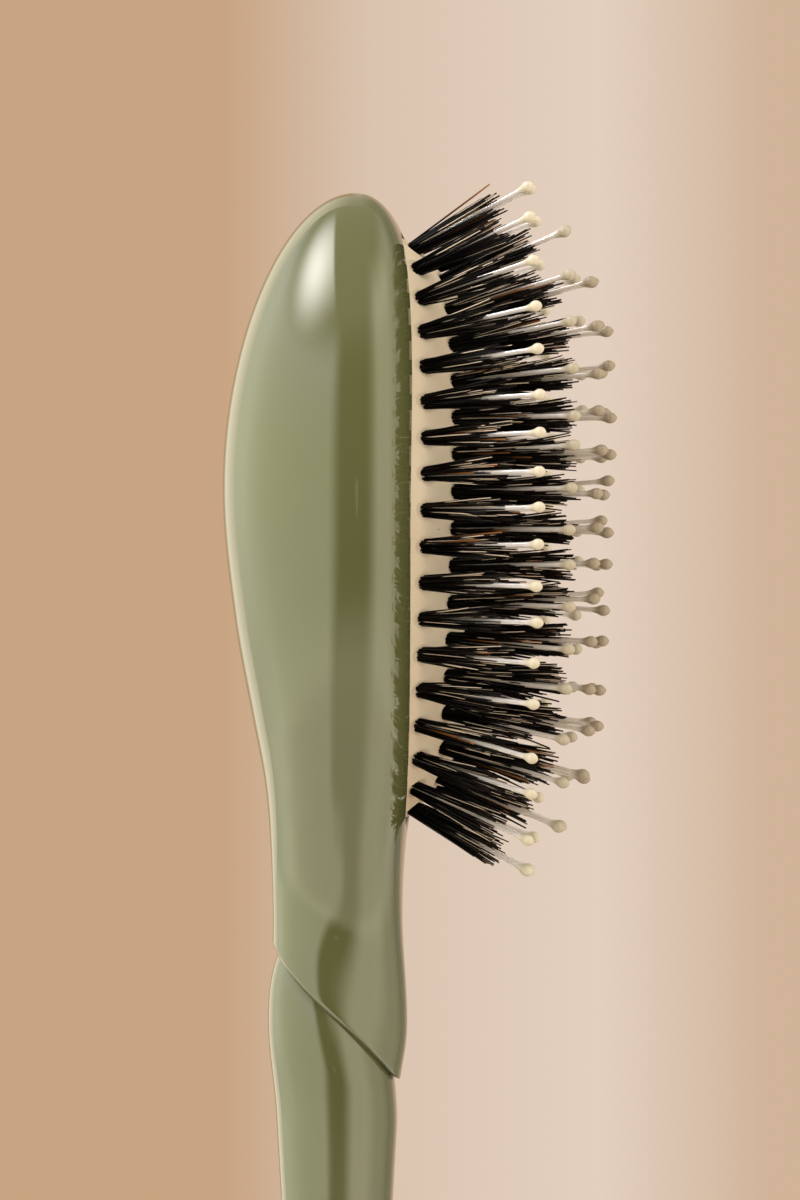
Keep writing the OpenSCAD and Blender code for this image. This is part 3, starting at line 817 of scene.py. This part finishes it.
def nylon_material():
    """Pins: whitish shafts that let light through, and ivory balls, with painted shade that makes balls
    and shafts greyer towards the middle row.
    """
    material, tree, shader, add = new_material("nylon")
    height, inner = attribute(add, "height"), attribute(add, "inner")
    # Painted shade: the shafts and balls of the inner rings are darker
    shaft = ramp(add, inner, [(0.0, linear(222, 213, 211)), (0.7, linear(212, 199, 189))])
    ivory, half_shaded_ivory, shaded_ivory = linear(210, 197, 175), linear(181, 166, 145), linear(158, 140, 119)
    ball = ramp(add, inner, [(0.0, ivory), (0.35, half_shaded_ivory), (0.7, shaded_ivory)])
    wire_up(tree, shader, {
        "Base Color": blend_colours(add, fade(add, height, 0.84, 0.92), shaft, ball),
        "Transmission Weight": remap(add, height, 0.82, 0.92, 0.42, 0.0),
    }, {"Roughness": 0.22, "IOR": 1.45})
    return material


def wire_material():
    material, tree, shader, add = new_material("wire")
    grain = noise(add, object_place(add), 2600, 2)
    wire_up(tree, shader, {
        "Base Color": ramp(add, grain, [(0.3, (0.45, 0.45, 0.44)), (0.7, (0.6, 0.6, 0.58))]),
        "Roughness": remap(add, grain, 0.3, 0.7, 0.25, 0.4),
    }, {"Metallic": 1})
    return material


# The object's pieces

def dress(piece, material, body, slot, *nodes):
    """Gives a piece its material and its body, and hides the nodes that it stands for. The slot is not
    used.
    """
    piece.data.materials.clear()
    piece.data.materials.append(material)
    if body:
        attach(piece, body)
    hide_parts(*nodes)


def place_body():
    dress(make_body(), acetate_material(), "handle", "acetate", "handle_body")


def place_cushion():
    """The cushion, joined to no body, with its points fixed where they stand."""
    cushion = make_cushion()
    dress(cushion, rubber_material(), None, "rubber", "cushion")
    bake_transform(cushion)


def place_bristles():
    """Tufts and pins, and the wire anchors behind them, which stay as they are packed."""
    boar, nylon, wire = boar_material(), nylon_material(), wire_material()
    for k in RINGS:
        dress(make_tufts(k), boar, f"bristles_{k}", "boar_bristle", f"tuft_ring_{k}")
        dress(make_pins(k), nylon, f"bristles_{k}", "nylon", f"pin_ring_{k}")
        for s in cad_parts[f"anchor_ring_{k}"].material_slots:
            s.material = wire


# Studio: a small pale floor, and all light from the world, laid out by direction

FLOOR_R, FLOOR_T, FLOOR_SIDES = 430, 4, 128
# Azimuth is 0 towards the camera and positive to its right, and it and elevation are in degrees. A
# pair is where a light begins to fade in or out and where it has done so.
LEFT_FROM, LEFT_TO, LEFT_SOFT, LEFT_TOP, LEFT_LEVEL = -150, -12, 7, (46, 24), 1.8
FOOT_FADE, FOOT_DROP, RIGHT_FOOT_DROP = (-4, -30), 0.85, 0.5
FAR_FADE, FAR_DROP = (-118, -142), 0.55
LOW_FAR_FADE, LOW_FAR_HEIGHTS, LOW_FAR_DROP = (-100, -125), (-1, -10), 0.5
RIGHT_START, RIGHT_END, RIGHT_REAR_END, RIGHT_TOP = (6, 42), (112, 68), (160, 105), (78, 40)
LOW_FADE, LOW_LEVEL, HIGH_FADE, HIGH_LEVEL, REST_LEVEL = (-4, -20), 0.9, (25, 50), 0.45, 0.05
# The ceiling lamp, on a plane at a height of 1
LAMP_X, LAMP_Y, LAMP_R, LAMP_CUT, LAMP_LEVEL = -0.75, -0.15, 1.25, (-0.28, -0.36), 8.5
# The oval wall behind the object, on a plane at a distance of 1
WALL_X, WALL_Z, WALL_EDGE, WALL_FADE, WALL_GAIN, WALL_LEVEL = 0.84, 1.26, 1.02, (0.2, -0.5), 1.2, 0.35
GLANCE_FADE = (0.5, 0.3)
BACKDROP_LEFT, BACKDROP_RIGHT = -0.0786, -0.0066


def floor_material():
    material, tree, shader, add = new_material("floor")
    tan, pale_tan = linear(180, 164, 147), linear(188, 173, 157)
    wire_up(tree, shader, {
        "Base Color": ramp(add, noise(add, object_place(add), 5, 3), [(0.3, tan), (0.7, pale_tan)]),
    }, {"Roughness": 0.9})
    # A glossy reflection shows the pale world below the horizon instead of the floor
    open_floor = add("ShaderNodeBsdfTransparent")
    glossy = add("ShaderNodeLightPath").outputs["Is Glossy Ray"]
    both = add("ShaderNodeMixShader", {0: glossy, 1: shader.outputs[0], 2: open_floor.outputs[0]})
    tree.links.new(both.outputs[0], tree.nodes["Material Output"].inputs["Surface"])
    return material


def make_floor():
    angles = [2 * math.pi * i / FLOOR_SIDES for i in range(FLOOR_SIDES)]
    rings = [
        [(FLOOR_R * math.cos(a), FLOOR_R * math.sin(a), z) for a in angles]
        for z in (-BUTT_D - FLOOR_T, -BUTT_D)
    ]
    floor = make_mesh("floor", *loft(rings))
    sharpen(floor, BODY_EDGE_ANGLE)
    floor.data.materials.append(floor_material())


def left_bank(add, azimuth, elevation):
    """A tall bank over the whole left, dimmer at its foot and at its far end."""
    foot_drop = product(add, fade(add, elevation, *FOOT_FADE), FOOT_DROP)
    far_drop = product(add, fade(add, azimuth, *FAR_FADE), FAR_DROP)
    low_far = product(add, fade(add, azimuth, *LOW_FAR_FADE), fade(add, elevation, *LOW_FAR_HEIGHTS))
    dimmed = combine(add, combine(add, foot_drop, far_drop), product(add, low_far, LOW_FAR_DROP))
    return product(add, band(add, azimuth, LEFT_FROM, LEFT_TO, LEFT_SOFT), fade(add, elevation, *LEFT_TOP),
                   combine(add, LEFT_LEVEL, dimmed, "SUBTRACT"))


def other_light(add, azimuth, elevation):
    """A bank on the right that ends in two stages, low and high light, and a little everywhere."""
    spread = combine(add, fade(add, azimuth, *RIGHT_END), fade(add, azimuth, *RIGHT_REAR_END))
    foot_drop = product(add, fade(add, elevation, *FOOT_FADE), -RIGHT_FOOT_DROP)
    right = product(add, fade(add, azimuth, *RIGHT_START), spread, fade(add, elevation, *RIGHT_TOP),
                    combine(add, foot_drop, 1.0))
    low = product(add, fade(add, elevation, *LOW_FADE), LOW_LEVEL)
    high = product(add, fade(add, elevation, *HIGH_FADE), HIGH_LEVEL)
    return combine(add, combine(add, right, low), combine(add, high, REST_LEVEL))


def distance_of(add, u, v):
    return combine(add, combine(add, product(add, u, u), product(add, v, v)), 0.5, "POWER")


def ceiling_lamp(add, x, y, z):
    """A soft lamp over the left, cut off straight at its right edge."""
    up = combine(add, z, 0.05, "MAXIMUM")
    lamp_x, lamp_y = combine(add, x, up, "DIVIDE"), combine(add, y, up, "DIVIDE")
    away = distance_of(add, combine(add, lamp_x, -LAMP_X), combine(add, lamp_y, -LAMP_Y))
    glow = fade(add, away, LAMP_R, 0.0)
    return product(add, glow, glow, fade(add, lamp_x, *LAMP_CUT), LAMP_LEVEL)


def world_wall(add, x, y, z):
    """Brightness of the wall behind the object, brightest at its left, the share of each direction
    that lies outside it, and the way from its centre, which is 1 at its edge."""
    back = combine(add, y, 0.02, "MAXIMUM")
    wall_x = product(add, combine(add, x, back, "DIVIDE"), 1 / WALL_X)
    wall_z = product(add, combine(add, z, back, "DIVIDE"), 1 / WALL_Z)
    reach = distance_of(add, wall_x, wall_z)
    wall = combine(add, product(add, fade(add, x, *WALL_FADE), WALL_GAIN), WALL_LEVEL)
    return wall, fade(add, reach, 1.0, WALL_EDGE), reach


def background(add, colour, strength):
    """A world shader. Its colour is a link or three numbers."""
    if not isinstance(colour, bpy.types.NodeSocket):
        colour = (*colour, 1)
    return add("ShaderNodeBackground", {"Color": colour, "Strength": strength}).outputs[0]


def lamp_shader(add, x, y, z, wall, outside):
    """All light of the world: the wall behind the object, and outside it the banks and the ceiling."""
    azimuth = product(add, combine(add, x, product(add, y, -1), "ARCTAN2"), math.degrees(1))
    elevation = product(add, combine(add, z, 0, "ARCSINE"), math.degrees(1))
    # The left bank is warmer at its foot than above
    left_colour = blend_colours(add, fade(add, elevation, 4, 30), (0.98, 1, 0.8), (1, 0.99, 1))
    banks = background(add, (1, 0.95, 0.8), other_light(add, azimuth, elevation))
    for more in (
        background(add, left_colour, left_bank(add, azimuth, elevation)),
        background(add, (0.98, 0.96, 1), ceiling_lamp(add, x, y, z)),
    ):
        banks = add("ShaderNodeAddShader", {0: banks, 1: more}).outputs[0]
    behind = background(add, (1, 0.89, 0.72), wall)
    return add("ShaderNodeMixShader", {0: outside, 1: behind, 2: banks}).outputs[0]


def backdrop_shader(add, x, y):
    """A backdrop with soft upright bands of painted light and shade, as light falling on a wall."""
    side = combine(add, x, combine(add, y, 0.05, "MAXIMUM"), "DIVIDE")
    tan, pale, cream = linear(200, 164, 130), linear(218, 196, 176), linear(228, 208, 191)
    sand = linear(209, 180, 153)
    place = remap(add, side, BACKDROP_LEFT, BACKDROP_RIGHT)
    painted_light_bands = ramp(add, place, [(0.31, tan), (0.46, pale), (0.68, cream), (0.76, pale), (0.85, sand)])
    return background(add, painted_light_bands, 1)


def make_world():
    world = bpy.data.worlds.new("studio")
    world.use_nodes = True
    tree = world.node_tree
    add = adder(tree)
    way = add("ShaderNodeTexCoord").outputs["Generated"]
    x, y, z = add("ShaderNodeSeparateXYZ", {0: way}).outputs
    wall, outside, reach = world_wall(add, x, y, z)
    lamps = lamp_shader(add, x, y, z, wall, outside)
    # The backdrop is what is seen directly, through the nylon or in a glancing reflection
    path = add("ShaderNodeLightPath")
    direct = combine(add, path.outputs["Is Camera Ray"], path.outputs["Is Transmission Ray"], "MAXIMUM")
    glancing = product(add, path.outputs["Is Glossy Ray"], fade(add, reach, *GLANCE_FADE))
    seen = combine(add, direct, glancing, "MAXIMUM")
    both = add("ShaderNodeMixShader", {0: seen, 1: lamps, 2: backdrop_shader(add, x, y)})
    tree.links.new(both.outputs[0], tree.nodes["World Output"].inputs["Surface"])
    bpy.context.scene.world = world


# Camera: it looks along +Y, turned a little to the bristles' side. Pixels are the photograph's.
MM_PER_PIXEL, FRAME_W, FRAME_H = 1 / 7, 800, 1200
AXIS_PX, NOSE_PX = 337.5, 193
DISTANCE, TURN = 2.0, math.radians(2.5)


def make_camera():
    aim_x = (FRAME_W / 2 - AXIS_PX) * MM_PER_PIXEL
    aim_z = NOSE_H - (FRAME_H / 2 - NOSE_PX) * MM_PER_PIXEL
    aim = Vector((aim_x * MM, 0, aim_z * MM))
    data = bpy.data.cameras.new("camera")
    data.lens = data.sensor_width * DISTANCE / (FRAME_H * MM_PER_PIXEL * MM)
    camera = bpy.data.objects.new("camera", data)
    camera.location = aim + Vector((math.sin(TURN), -math.cos(TURN), 0)) * DISTANCE
    camera.rotation_euler = (aim - camera.location).to_track_quat("-Z", "Y").to_euler()
    bpy.context.collection.objects.link(camera)
    bpy.context.scene.camera = camera


place_body()
place_cushion()
place_bristles()
make_floor()
make_world()
make_camera()
bpy.context.scene.view_settings.view_transform = "Standard"
